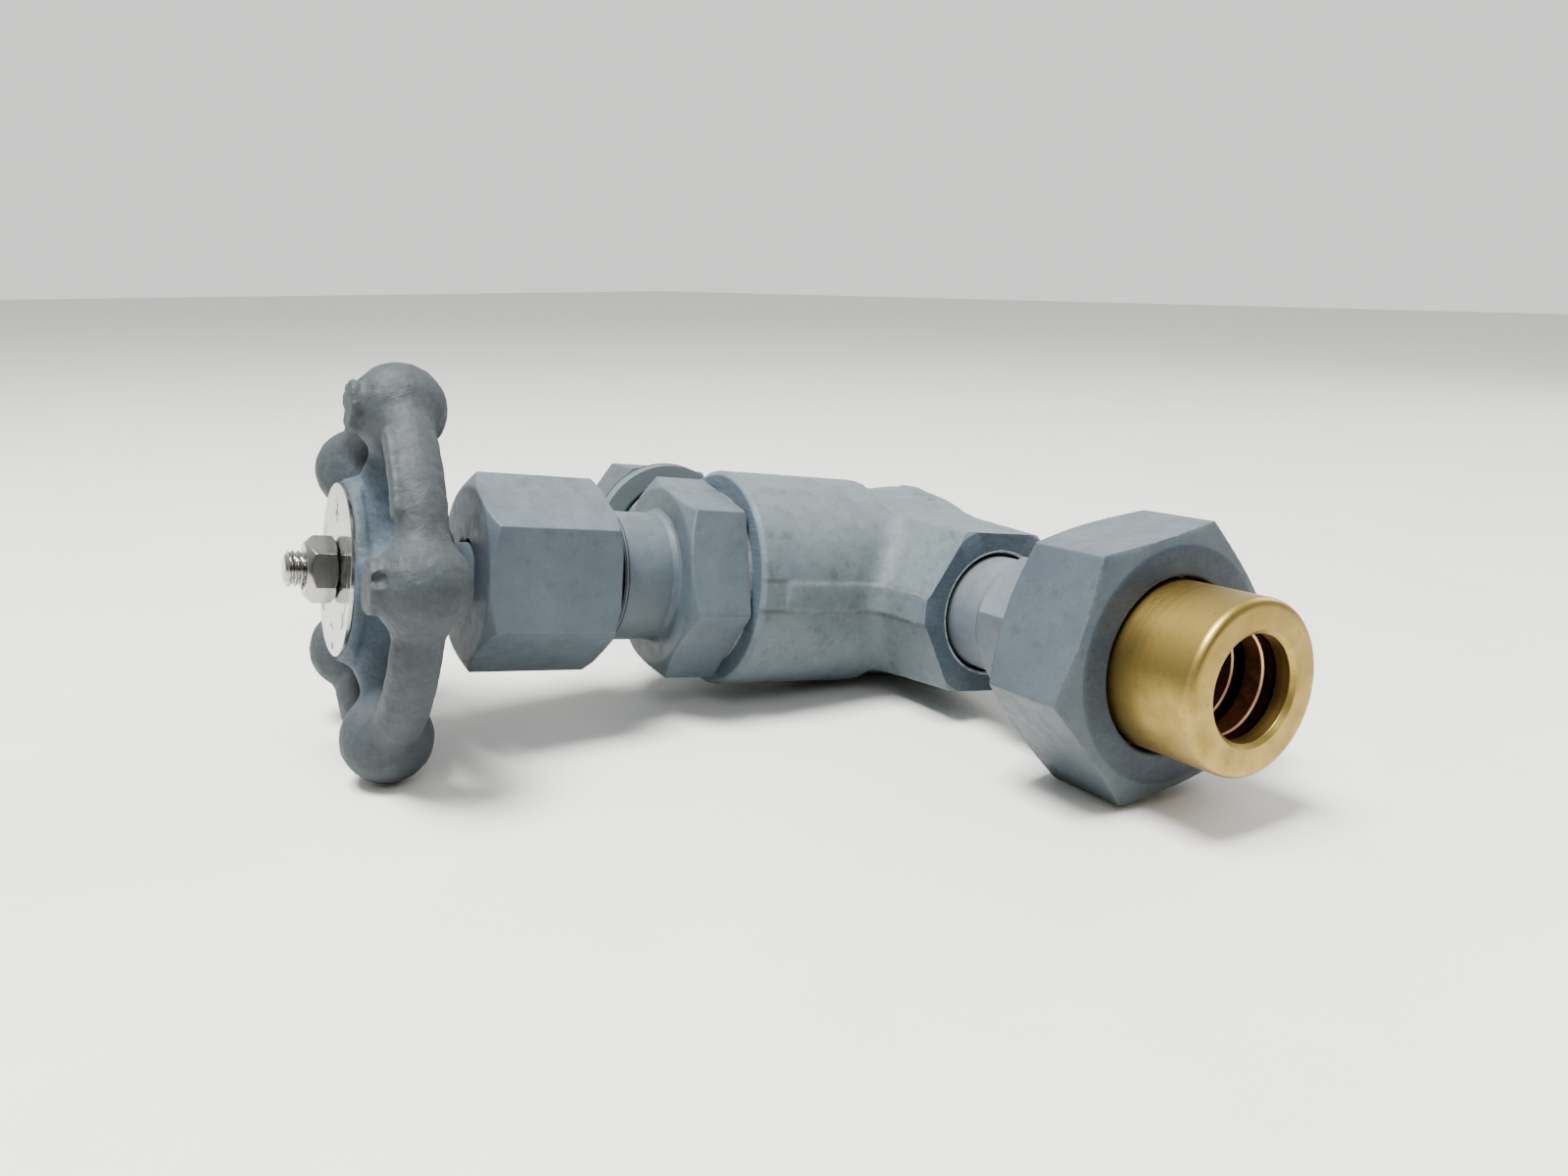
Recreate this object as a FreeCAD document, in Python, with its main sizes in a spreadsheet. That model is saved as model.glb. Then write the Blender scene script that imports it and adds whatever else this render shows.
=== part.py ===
import FreeCAD, Part
import Sketcher
import math
import os
import re

# A screw-down flow control valve with unequal union ends.
# Row frame, millimetres: the flow runs along Y, the spindle along X with its handwheel at -X, +Z is up.
# The origin is the centre of the front pipe socket, where its straight wall starts inside the mouth.
#
# Two distances are used along the axes:
#   station   distance along the spindle axis towards the handwheel, 0 where it crosses the front port
#   reach     distance along a port's axis, outwards from the spindle axis

SIZES = {
    # places of the axes
    "spindle_y": 125.2,            # the spindle axis, behind the front socket's wall start
    "rear_port_station": 33.0,     # the rear port opens above the seat, the front port below it
    # forged body
    "barrel_radius": 27.8,
    "barrel_start": 15.0,
    "barrel_end": 56.1,
    "barrel_bevel": 2.4,
    "waist_radius": 25.6,
    "ball_radius": 27.0,
    "ball_station": -2.8,
    "boss_width": 40.0,
    "boss_face": 47.5,
    "boss_bevel_radius": 21.6,
    "flow_radius_front": 8.0,
    "flow_radius_rear": 7.0,
    "blind_end": -9.0,
    "seat_start": 13.0,
    "seat_end": 19.0,
    "seat_radius": 12.0,
    "seat_bore_radius": 6.5,
    "seat_lip_radius": 7.5,
    "chamber_radius": 18.0,
    "chamber_end": 41.0,
    "bonnet_thread_radius": 19.0,
    "port_thread_start": 30.0,
    # bonnet
    "bonnet_start": 41.5,
    "gasket_radius": 22.3,
    "bonnet_hex_start": 57.2,
    "bonnet_hex_end": 72.6,
    "bonnet_hex_width": 45.0,
    "bonnet_hex_turn": 17.7,
    "neck_radius": 16.0,
    "neck_foot_radius": 17.4,
    "neck_foot_end": 74.4,
    "runout_start": 86.6,
    "runout_end": 88.2,
    "runout_radius": 15.2,
    "bonnet_end": 106.0,
    "running_gap": 0.06,           # radial clearance of each thread and running fit
    "spindle_thread_radius": 8.0,
    "spindle_thread_end": 84.0,
    "stuffing_start": 88.0,
    "stuffing_radius": 11.0,
    # packing and gland
    "packing_washer_end": 90.0,
    "packing_end": 103.5,
    "follower_sleeve_radius": 10.9,
    "follower_flange_start": 107.0,
    "follower_flange_radius": 13.5,
    "follower_end": 110.0,
    "gland_start": 89.3,
    "gland_end": 120.6,
    "gland_width": 41.0,
    "gland_turn": 4.8,
    "gland_hole_radius": 7.8,
    # regulating plug and spindle
    "plug_nose_start": 6.0,
    "plug_nose_radius": 3.6,
    "plug_skirt_radius": 6.3,
    "plug_cone_start": 17.9,       # the cone and the seat's lip are both at 45 degrees, 0.1 mm apart
    "plug_cone_end": 21.6,
    "plug_radius": 10.0,
    "plug_socket_start": 26.0,
    "plug_socket_radius": 6.7,
    "plug_end": 33.0,
    "head_radius": 6.5,
    "head_start": 26.3,
    "head_end": 29.4,
    "retainer_start": 29.8,
    "spindle_neck_radius": 4.5,
    "spindle_neck_end": 34.5,
    "spindle_thread_length": 40.0,
    "stem_radius": 7.0,
    "square_start": 126.0,
    "square_width": 10.0,
    "stud_start": 146.8,
    "stud_radius": 4.0,
    "stud_tip_bevel": 0.9,
    "spindle_end": 159.9,
    # handwheel, its plate and its nut
    "wheel_station": 139.2,
    "wheel_radius": 37.6,
    "ball_knob_radius": 10.0,
    "rim_radius": 5.5,
    "first_spoke_turn": -13.8,
    "hub_start": 125.0,
    "hub_foot_radius": 10.5,
    "hub_middle_radius": 16.0,
    "hub_middle": 141.0,
    "hub_flange_radius": 19.8,
    "hub_flange_start": 145.6,
    "hub_end": 148.6,
    "spoke_root_station": 142.0,
    "spoke_root_radius": 6.2,
    "spoke_tip_radius": 5.4,
    "square_play": 0.05,
    "plate_end": 149.4,
    "plate_radius": 19.2,
    "plate_hole_radius": 4.2,
    "spindle_nut_end": 155.9,
    "spindle_nut_width": 13.0,
    "spindle_nut_turn": 0.0,
    # front union, for 22 mm tube
    "front_port_radius": 12.0,
    "front_recess_radius": 15.2,
    "front_collar_radius": 14.25,
    "front_collar_end": 57.5,
    "front_hex_width": 30.0,
    "front_hex_turn": 20.0,
    "front_thread_start": 78.0,
    "front_thread_radius": 20.5,
    "front_thread_end": 94.0,
    "front_seal_radius": 17.0,
    "front_tail_start": 95.0,
    "front_flange_radius": 20.2,
    "front_flange_end": 98.5,
    "front_tail_radius": 18.3,
    "front_tail_bore": 9.5,
    "front_socket_start": 104.0,
    "front_socket_radius": 11.05,
    "front_tail_end": 126.0,
    "front_groove_deep": 111.0,
    "front_groove_near": 118.6,
    "front_nut_start": 80.6,
    "front_nut_shoulder_end": 81.2,
    "front_nut_shoulder_radius": 26.8,
    "front_nut_end": 105.6,
    "front_nut_face_radius": 25.2,
    "front_nut_width": 55.0,
    "front_nut_turn": -14.7,
    # rear union, for 16 mm tube
    "rear_port_radius": 10.5,
    "rear_recess_radius": 13.4,
    "rear_collar_radius": 12.5,
    "rear_collar_end": 56.0,
    "rear_hex_width": 27.0,
    "rear_hex_turn": 12.0,
    "rear_thread_start": 74.0,
    "rear_thread_radius": 16.5,
    "rear_thread_end": 90.0,
    "rear_seal_radius": 13.5,
    "rear_tail_start": 91.0,
    "rear_flange_radius": 16.2,
    "rear_flange_end": 94.5,
    "rear_tail_radius": 14.0,
    "rear_tail_bore": 6.5,
    "rear_socket_start": 101.2,
    "rear_socket_radius": 8.05,
    "rear_tail_end": 118.0,
    "rear_groove_deep": 105.6,
    "rear_groove_near": 111.4,
    "rear_nut_start": 78.5,
    "rear_nut_shoulder_end": 82.5,
    "rear_nut_shoulder_radius": 23.9,
    "rear_nut_end": 101.3,
    "rear_nut_face_radius": 20.2,
    "rear_nut_width": 44.0,
    "rear_nut_turn": 30.0,
    # shared by both unions
    "adapter_start": 30.5,
    "recess_floor": 43.7,
    "collar_start": 44.5,
    "seat_face_gap": 0.05,         # a face that only rests on a piece that moves away from it
    "lip_gap": 0.8,
    "nut_bevel_slope": 3.1,        # how far the union nuts' front bevels fall in radius per length
    "tail_edge": 1.4,
    "mouth_bevel": 0.8,
    "groove_width": 3.0,
    "groove_depth": 1.3,
    "braze_ring_inset": 0.7,
    "braze_ring_height": 1.1,
}

SPOKES = 5
PACKING_RINGS = 3
FUNCTIONS = ("sqrt", "sin", "cos")

doc = FreeCAD.newDocument("flow_control_valve")
sheet = doc.addObject("Spreadsheet::Sheet", "Sizes")
for row, (alias, value) in enumerate(SIZES.items(), start=1):
    sheet.set(f"A{row}", alias)
    sheet.set(f"B{row}", str(value))
    sheet.setAlias(f"B{row}", alias)
doc.recompute()

# Local Z of a piece is its own axis: towards the handwheel, or outwards along a port. Local X is +Z.
UP = FreeCAD.Vector(0, 0, 1)
ROUTES = {
    "spindle": (UP, FreeCAD.Vector(0, 1, 0), FreeCAD.Vector(-1, 0, 0)),
    "front": (UP, FreeCAD.Vector(-1, 0, 0), FreeCAD.Vector(0, -1, 0)),
    "rear": (UP, FreeCAD.Vector(1, 0, 0), FreeCAD.Vector(0, 1, 0)),
}


def rule(text):
    """An expression in which each alias is read from the sheet."""
    words = "|".join(FUNCTIONS)
    return re.sub(rf"\b(?!(?:{words})\b)[a-z]\w*", r"Sizes.\g<0>", str(text))


def add(kind, name, rules):
    """A new object with its properties bound to the sheet."""
    piece = doc.addObject(kind, name)
    for prop, text in rules.items():
        piece.setExpression(prop, rule(text))
    return piece


def place(piece, route):
    """Turn a piece's local Z onto the spindle or a port, and set it on that axis."""
    piece.Placement = FreeCAD.Placement(FreeCAD.Vector(), FreeCAD.Rotation(*ROUTES[route], "ZXY"))
    piece.setExpression("Placement.Base.y", rule("spindle_y"))
    if route == "rear":
        piece.setExpression("Placement.Base.x", rule("-rear_port_station"))
    return piece


def step(name, start, end, radius, end_radius=None):
    """One cylinder on local Z from start to end, or a cone where an end radius is given."""
    rules = {"Height": f"({end}) - ({start})", "Placement.Base.z": start}
    if end_radius is None:
        return add("Part::Cylinder", name, {**rules, "Radius": radius})
    return add("Part::Cone", name, {**rules, "Radius1": radius, "Radius2": end_radius})


def fuse(name, pieces):
    joined = doc.addObject("Part::MultiFuse", name)
    joined.Shapes = pieces
    joined.Refine = True
    return joined


def common(name, pieces):
    shared = doc.addObject("Part::MultiCommon", name)
    shared.Shapes = pieces
    return shared


def steps(name, profile):
    """Coaxial cylinders and cones, fused where there is more than one."""
    pieces = [step(f"{name}_{k}", *values) for k, values in enumerate(profile)]
    return pieces[0] if len(pieces) == 1 else fuse(name, pieces)


def hexagon(name, start, end, width, turn, bevels):
    """A hexagon bar on local Z; bevels gives the face radius and slope at the start, the end, or None."""
    span = f"({end}) - ({start})"
    prism = add("Part::Prism", f"{name}_bar", {
        "Circumradius": f"{width} / sqrt(3)",
        "Height": span,
        "Placement.Base.z": start,
        "Placement.Rotation.Angle": turn,
    })
    cuts = []
    for side, bevel in zip(("start", "end"), bevels):
        if bevel is None:
            continue
        face, slope = bevel
        wide = f"{face} + ({span}) * {slope}"
        radii = (face, wide) if side == "start" else (wide, face)
        cuts.append(step(f"{name}_{side}_bevel", start, end, *radii))
    return common(name, [prism] + cuts) if cuts else prism


def cut(label, base, tool):
    piece = doc.addObject("Part::Cut", label)
    piece.Base = base
    piece.Tool = tool
    return piece


def xy_plane(body):
    return next(item for item in body.Origin.OriginFeatures if item.Role == "XY_Plane")


def ring(label, start, end, inner, outer):
    """A flat ring as a padded sketch of two circles; inner and outer are aliases of radii."""
    body = doc.addObject("PartDesign::Body", label)
    sketch = body.newObject("Sketcher::SketchObject", f"{label}_outline")
    sketch.AttachmentSupport = (xy_plane(body), [""])
    sketch.MapMode = "FlatFace"
    sketch.setExpression("AttachmentOffset.Base.z", rule(start))
    for side, text in (("inner", inner), ("outer", outer)):
        radius = sum(SIZES[word] for word in text.split(" + "))
        circle = sketch.addGeometry(Part.Circle(FreeCAD.Vector(), UP, radius), False)
        sketch.addConstraint(Sketcher.Constraint("Coincident", circle, 3, -1, 1))
        size = sketch.addConstraint(Sketcher.Constraint("Radius", circle, radius))
        sketch.renameConstraint(size, side)
        sketch.setExpression(f"Constraints.{side}", rule(text))
    pad = body.newObject("PartDesign::Pad", f"{label}_pad")
    pad.Profile = sketch
    pad.setExpression("Length", rule(f"({end}) - ({start})"))
    return body


def valve_body():
    """The forging: a barrel for the bonnet, a ball end, and a flat-topped hexagon boss for each port."""
    barrel = place(steps("barrel", [
        ("ball_station", "barrel_start", "waist_radius"),
        ("barrel_start - 2", "barrel_start", "waist_radius", "barrel_radius"),
        ("barrel_start", "barrel_end - barrel_bevel", "barrel_radius"),
        ("barrel_end - barrel_bevel", "barrel_end", "barrel_radius", "barrel_radius - barrel_bevel"),
    ]), "spindle")
    ball = add("Part::Sphere", "ball_end", {
        "Radius": "ball_radius", "Placement.Base.x": "-ball_station", "Placement.Base.y": "spindle_y",
    })
    bosses = [
        place(hexagon(f"{side}_boss", "0", "boss_face", "boss_width", "30",
                      (None, ("boss_bevel_radius", "sqrt(3)"))), side)
        for side in ("front", "rear")
    ]
    bores = [place(steps("spindle_bores", [
        ("blind_end", "seat_start", "flow_radius_front"),
        ("seat_start", "seat_end", "seat_radius"),
        ("seat_end", "chamber_end", "chamber_radius"),
        ("chamber_end", "barrel_end", "bonnet_thread_radius"),
    ]), "spindle")]
    for side in ("front", "rear"):
        bores.append(place(steps(f"{side}_port_bores", [
            ("0", "boss_face", f"flow_radius_{side}"),
            ("port_thread_start", "boss_face", f"{side}_port_radius"),
            ("recess_floor", "boss_face", f"{side}_recess_radius"),
        ]), side))
    return cut("valve_body", fuse("forging", [barrel, ball] + bosses), fuse("body_bores", bores))


def seat_ring():
    blank = step("seat_blank", "seat_start", "seat_end", "seat_radius")
    hole = steps("seat_hole", [
        ("seat_start", "seat_end", "seat_bore_radius"),
        ("seat_end - 1", "seat_end", "seat_bore_radius", "seat_lip_radius"),
    ])
    return place(cut("seat_ring", blank, hole), "spindle")


def bonnet():
    """A screwed bonnet: threaded plug, spanner hexagon, neck, and the thread for the gland nut."""
    outside = fuse("bonnet_outside", [
        steps("bonnet_turning", [
            ("bonnet_start", "bonnet_hex_start", "bonnet_thread_radius - running_gap"),
            ("bonnet_hex_end", "neck_foot_end", "neck_foot_radius", "neck_radius"),
            ("bonnet_hex_end", "runout_start", "neck_radius"),
            ("runout_start", "runout_end", "runout_radius"),
            ("runout_end", "bonnet_end", "neck_radius - running_gap"),
        ]),
        hexagon("bonnet_hex", "bonnet_hex_start", "bonnet_hex_end", "bonnet_hex_width",
                "bonnet_hex_turn", (None, ("bonnet_hex_width / 2 - 0.4", "sqrt(3)"))),
    ])
    inside = steps("bonnet_bores", [
        ("bonnet_start", "spindle_thread_end", "spindle_thread_radius + running_gap"),
        ("spindle_thread_end", "stuffing_start", "stem_radius + running_gap"),
        ("stuffing_start", "bonnet_end", "stuffing_radius"),
    ])
    return place(cut("bonnet", outside, inside), "spindle")


def bonnet_gasket():
    return place(ring("bonnet_gasket", "barrel_end", "bonnet_hex_start",
                      "bonnet_thread_radius", "gasket_radius"), "spindle")


def packing():
    """A backing washer and the packing rings in the stuffing box, one group of equal rings."""
    washer = place(ring("packing_washer", "stuffing_start", "packing_washer_end",
                        "stem_radius + running_gap", "follower_sleeve_radius"), "spindle")
    rings = []
    pitch = f"(packing_end - packing_washer_end) / {PACKING_RINGS}"
    for k in range(PACKING_RINGS):
        start = f"packing_washer_end + {k} * {pitch}"
        blank = step(f"packing_blank_{k}", start, f"{start} + {pitch} - seat_face_gap",
                     "stuffing_radius - seat_face_gap")
        hole = step(f"packing_hole_{k}", start, f"{start} + {pitch}", "stem_radius + running_gap / 2")
        rings.append(cut(f"packing_ring_{k}", blank, hole))
    group = doc.addObject("Part::Compound", "packing_rings")
    group.Links = rings
    return [washer, place(group, "spindle")]


def gland():
    """The follower that squeezes the packing, and the gland nut that drives it."""
    sleeve = steps("follower_blank", [
        ("packing_end", "follower_end", "follower_sleeve_radius"),
        ("follower_flange_start", "follower_end", "follower_flange_radius"),
    ])
    sleeve_hole = step("follower_hole", "packing_end", "follower_end", "stem_radius + running_gap")
    follower = place(cut("gland_follower", sleeve, sleeve_hole), "spindle")
    blank = hexagon("gland_blank", "gland_start", "gland_end", "gland_width", "gland_turn",
                    (("gland_width / 2 + 1", "sqrt(3)"), ("gland_width / 2 - 0.4", "sqrt(3)")))
    inside = steps("gland_bores", [
        ("gland_start", "follower_end + seat_face_gap", "neck_radius"),
        ("follower_end", "gland_end", "gland_hole_radius"),
        ("gland_end - 0.8", "gland_end", "gland_hole_radius", "gland_hole_radius + 0.8"),
    ])
    return [follower, place(cut("gland_nut", blank, inside), "spindle")]


def plug():
    """The regulating plug, free to swivel on the spindle's head, and the ring that keeps it there."""
    outside = steps("plug_turning", [
        ("plug_nose_start", "plug_cone_start", "plug_nose_radius", "plug_skirt_radius"),
        ("plug_cone_start", "plug_cone_end", "plug_skirt_radius", "plug_radius"),
        ("plug_cone_end", "plug_end", "plug_radius"),
    ])
    socket = step("plug_socket", "plug_socket_start", "plug_end", "plug_socket_radius")
    retainer = place(ring("plug_retainer", "retainer_start", "plug_end",
                          "spindle_neck_radius + running_gap", "plug_socket_radius"), "spindle")
    return [place(cut("regulating_plug", outside, socket), "spindle"), retainer]


def spindle():
    """Head, neck, screw thread, polished stem, wheel square and the stud for the wheel's nut."""
    square = common("wheel_square", [
        add("Part::Prism", "square_bar", {
            "Circumradius": "square_width / sqrt(2)",
            "Height": "stud_start - square_start",
            "Placement.Base.z": "square_start",
        }),
        step("square_limit", "square_start", "stud_start", "stem_radius"),
    ])
    doc.getObject("square_bar").Polygon = 4
    turning = steps("spindle_turning", [
        ("head_start", "head_end", "head_radius"),
        ("head_end", "spindle_neck_end", "spindle_neck_radius"),
        ("spindle_neck_end", "spindle_neck_end + spindle_thread_length", "spindle_thread_radius"),
        ("spindle_neck_end + spindle_thread_length", "square_start", "stem_radius"),
        ("stud_start", "spindle_end - stud_tip_bevel", "stud_radius"),
        ("spindle_end - stud_tip_bevel", "spindle_end", "stud_radius", "stud_radius - stud_tip_bevel"),
    ])
    return place(fuse("spindle", [turning, square]), "spindle")


def handwheel():
    """A dished casting: hub, five spokes, a round rim and a ball where each spoke meets the rim.

    Each ball is turned so that its seam faces outwards, clear of the rim and the spoke.
    """
    rim = add("Part::Torus", "rim", {
        "Radius1": "wheel_radius",
        "Radius2": "rim_radius",
        "Placement.Base.z": "wheel_station",
        "Placement.Rotation.Angle": f"first_spoke_turn + {180 / SPOKES}",
    })
    pieces = [rim, steps("hub", [
        ("hub_start", "hub_middle", "hub_foot_radius", "hub_middle_radius"),
        ("hub_middle", "hub_flange_start", "hub_middle_radius", "hub_flange_radius"),
        ("hub_flange_start", "hub_end", "hub_flange_radius"),
    ])]
    lean = math.atan2(SIZES["spoke_root_station"] - SIZES["wheel_station"], SIZES["wheel_radius"])
    for k in range(SPOKES):
        angle = f"first_spoke_turn + {k * 360 / SPOKES}"
        pieces.append(add("Part::Sphere", f"knob_{k}", {
            "Radius": "ball_knob_radius",
            "Placement.Base.x": f"wheel_radius * cos({angle})",
            "Placement.Base.y": f"wheel_radius * sin({angle})",
            "Placement.Base.z": "wheel_station",
            "Placement.Rotation.Angle": angle,
        }))
        spoke = add("Part::Cone", f"spoke_{k}", {
            "Radius1": "spoke_root_radius",
            "Radius2": "spoke_tip_radius",
            "Height": "sqrt(wheel_radius * wheel_radius"
                      " + (spoke_root_station - wheel_station) * (spoke_root_station - wheel_station))",
        })
        turn = SIZES["first_spoke_turn"] + k * 360 / SPOKES
        tip = FreeCAD.Rotation(UP, turn).multVec(FreeCAD.Vector(math.cos(lean), 0, -math.sin(lean)))
        spoke.Placement = FreeCAD.Placement(FreeCAD.Vector(), FreeCAD.Rotation(UP, tip))
        spoke.setExpression("Placement.Base.z", rule("spoke_root_station"))
        pieces.append(spoke)
    hole = add("Part::Prism", "wheel_hole", {
        "Circumradius": "(square_width + 2 * square_play) / sqrt(2)",
        "Height": "hub_end - hub_start",
        "Placement.Base.z": "hub_start",
    })
    hole.Polygon = 4
    clearance = step("hub_counterbore", "hub_start", "square_start", "stem_radius + square_play")
    return place(cut("handwheel", fuse("wheel_casting", pieces),
                     fuse("wheel_cuts", [hole, clearance])), "spindle")


def plate_and_nut():
    plate = place(ring("nameplate", "hub_end", "plate_end", "plate_hole_radius", "plate_radius"), "spindle")
    blank = hexagon("nut_blank", "plate_end", "spindle_nut_end", "spindle_nut_width", "spindle_nut_turn",
                    [("spindle_nut_width / 2 - 0.2", "sqrt(3)")] * 2)
    hole = step("nut_hole", "plate_end", "spindle_nut_end", "stud_radius + running_gap")
    return [plate, place(cut("spindle_nut", blank, hole), "spindle")]


def union(side):
    """One union: adapter and its seal in the port, tailpiece with its seal and brazing rings, and nut."""
    def own(name):
        return f"{side}_{name}"

    port_seal = ring(f"port_seal_{side}", "recess_floor", "collar_start",
                     own("port_radius"), own("collar_radius"))
    adapter_outside = fuse(own("adapter_outside"), [
        steps(own("adapter_turning"), [
            ("adapter_start", "collar_start", f"{own('port_radius')} - running_gap"),
            ("collar_start", own("collar_end"), own("collar_radius")),
            (own("thread_start"), own("thread_end"), own("thread_radius")),
        ]),
        hexagon(own("adapter_hex"), own("collar_end"), own("thread_start"), own("hex_width"),
                own("hex_turn"), ((f"{own('hex_width')} / 2 - 0.4", "sqrt(3)"), None)),
    ])
    adapter_bore = step(own("adapter_bore"), "adapter_start", own("thread_end"), f"flow_radius_{side}")
    adapter = cut(f"union_adapter_{side}", adapter_outside, adapter_bore)
    union_seal = ring(f"union_seal_{side}", own("thread_end"), f"{own('tail_start')} - seat_face_gap",
                      own("tail_bore"), own("seal_radius"))

    tail_outside = steps(own("tail_outside"), [
        (own("tail_start"), own("flange_end"), own("flange_radius")),
        (own("flange_end"), f"{own('tail_end')} - tail_edge", own("tail_radius")),
        (f"{own('tail_end')} - tail_edge", own("tail_end"), own("tail_radius"),
         f"{own('tail_radius')} - tail_edge"),
    ])
    grooves = [
        (own(f"groove_{name}"), f"{own(f'groove_{name}')} + groove_width",
         f"{own('socket_radius')} + groove_depth") for name in ("deep", "near")
    ]
    tail_inside = steps(own("tail_inside"), [
        (own("tail_start"), own("socket_start"), own("tail_bore")),
        (own("socket_start"), own("tail_end"), own("socket_radius")),
        (f"{own('tail_end')} - mouth_bevel", own("tail_end"), own("socket_radius"),
         f"{own('socket_radius')} + mouth_bevel"),
    ] + grooves)
    tail = cut(f"tailpiece_{side}", tail_outside, tail_inside)

    rings = []
    for name in ("deep", "near"):
        start = f"{own(f'groove_{name}')} + braze_ring_inset"
        end = f"{own(f'groove_{name}')} + groove_width - braze_ring_inset"
        outer = f"{own('socket_radius')} + groove_depth"
        rings.append(cut(own(f"braze_ring_{name}"),
                         step(own(f"braze_blank_{name}"), start, end, outer),
                         step(own(f"braze_hole_{name}"), start, end, f"{outer} - braze_ring_height")))
    brazing_rings = doc.addObject("Part::Compound", f"brazing_rings_{side}")
    brazing_rings.Links = rings

    nut_blank = fuse(own("nut_blank"), [
        step(own("nut_shoulder"), own("nut_start"), own("nut_shoulder_end"), own("nut_shoulder_radius")),
        hexagon(own("nut_hex"), own("nut_shoulder_end"), own("nut_end"), own("nut_width"), own("nut_turn"), (
            (f"{own('nut_shoulder_radius')} + 0.7", "sqrt(3)"),
            (own("nut_face_radius"), "nut_bevel_slope"),
        )),
    ])
    nut_inside = steps(own("nut_inside"), [
        (own("nut_start"), f"{own('flange_end')} + seat_face_gap", f"{own('thread_radius')} + running_gap"),
        (own("flange_end"), own("nut_end"), f"{own('tail_radius')} + lip_gap"),
    ])
    nut = cut(f"union_nut_{side}", nut_blank, nut_inside)
    return [place(piece, side) for piece in (port_seal, adapter, union_seal, tail, brazing_rings, nut)]


def build():
    pieces = [valve_body(), seat_ring(), bonnet(), bonnet_gasket(), spindle(), handwheel()]
    for group in (packing(), gland(), plug(), plate_and_nut(), union("front"), union("rear")):
        pieces += group
    doc.recompute()
    return pieces


def check(pieces):
    """Stop unless every object of the document computed and every sub-part is a valid solid."""
    for item in doc.Objects:
        if "Invalid" in item.State or "Error" in item.State:
            raise RuntimeError(f"{item.Name} failed: {item.State}")
    for piece in pieces:
        shape = piece.Shape
        if shape.isNull() or not shape.isValid() or not shape.Solids:
            raise RuntimeError(f"{piece.Label} is not a valid solid")


def export(pieces):
    os.makedirs("parts", exist_ok=True)
    for piece in pieces:
        piece.Shape.exportStep(f"parts/{piece.Label}.step")
        box = piece.Shape.BoundBox
        print(f"{piece.Label:22s} {len(piece.Shape.Solids)} solid(s) {piece.Shape.Volume:10.1f} mm3"
              f"  x {box.XMin:7.1f} {box.XMax:7.1f}  y {box.YMin:7.1f} {box.YMax:7.1f}"
              f"  z {box.ZMin:7.1f} {box.ZMax:7.1f}")


sub_parts = build()
check(sub_parts)
export(sub_parts)
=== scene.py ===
import math

import bpy
import numpy as np
from mathutils import Matrix, Vector


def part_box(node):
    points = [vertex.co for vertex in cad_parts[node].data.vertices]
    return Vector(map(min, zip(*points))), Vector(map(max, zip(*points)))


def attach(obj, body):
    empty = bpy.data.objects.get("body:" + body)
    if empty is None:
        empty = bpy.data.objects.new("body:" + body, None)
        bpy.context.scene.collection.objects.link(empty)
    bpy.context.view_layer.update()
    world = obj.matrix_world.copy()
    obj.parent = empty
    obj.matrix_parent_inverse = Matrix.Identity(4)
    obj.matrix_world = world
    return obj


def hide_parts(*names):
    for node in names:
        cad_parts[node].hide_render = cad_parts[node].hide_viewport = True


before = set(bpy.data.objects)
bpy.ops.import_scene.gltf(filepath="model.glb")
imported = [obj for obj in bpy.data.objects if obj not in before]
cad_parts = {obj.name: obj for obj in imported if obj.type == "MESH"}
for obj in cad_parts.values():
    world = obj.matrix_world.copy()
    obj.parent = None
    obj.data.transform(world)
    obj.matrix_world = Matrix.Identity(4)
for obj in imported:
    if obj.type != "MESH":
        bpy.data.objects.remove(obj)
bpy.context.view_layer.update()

# Pieces are made in millimetres about their own axis and turned into the row frame, in metres.
# "station" is the distance along the spindle towards the handwheel, "reach" along a port outwards.
MM = 0.001
TURN = 2 * math.pi


def centre(node):
    low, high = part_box(node)
    return (low + high) / (2 * MM)


SPINDLE_Y = centre("gland_nut").y
REAR_X = centre("tailpiece_rear").x


# ---------------------------------------------------------------- helpers: meshes

def route_matrix(route):
    """Turns local Z onto the spindle or a port; local X becomes +Z."""
    side, out, place = {
        "spindle": ((0, 1, 0), (-1, 0, 0), (0, SPINDLE_Y, 0)),
        "front": ((-1, 0, 0), (0, -1, 0), (0, SPINDLE_Y, 0)),
        "rear": ((1, 0, 0), (0, 1, 0), (REAR_X, SPINDLE_Y, 0)),
        "row": (None, None, (0, SPINDLE_Y, 0)),
    }[route]
    turn = Matrix.Identity(3) if side is None else Matrix(((0, 0, 1), side, out)).transposed()
    return Matrix.Translation(Vector(place) * MM) @ turn.to_4x4() @ Matrix.Scale(MM, 4)


def new_piece(name, points, faces, route, sharp_angle=None):
    mesh = bpy.data.meshes.new(name)
    mesh.from_pydata([tuple(p) for p in points], [], [tuple(int(i) for i in f) for f in faces])
    mesh.transform(route_matrix(route))
    mesh.shade_smooth()
    if sharp_angle is not None:
        mesh.set_sharp_from_angle(angle=math.radians(sharp_angle))
    piece = bpy.data.objects.new(name, mesh)
    bpy.context.scene.collection.objects.link(piece)
    return piece


def bake(piece):
    """Turn a piece's modifiers into its mesh."""
    graph = bpy.context.evaluated_depsgraph_get()
    mesh = bpy.data.meshes.new_from_object(piece.evaluated_get(graph))
    piece.modifiers.clear()
    piece.data = mesh


def install(piece, material, body, node):
    """Give a piece its material, let it ride on its body and stand for its CAD node."""
    piece.data.materials.clear()
    piece.data.materials.append(material)
    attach(piece, body)
    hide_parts(node)
    return piece


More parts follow.
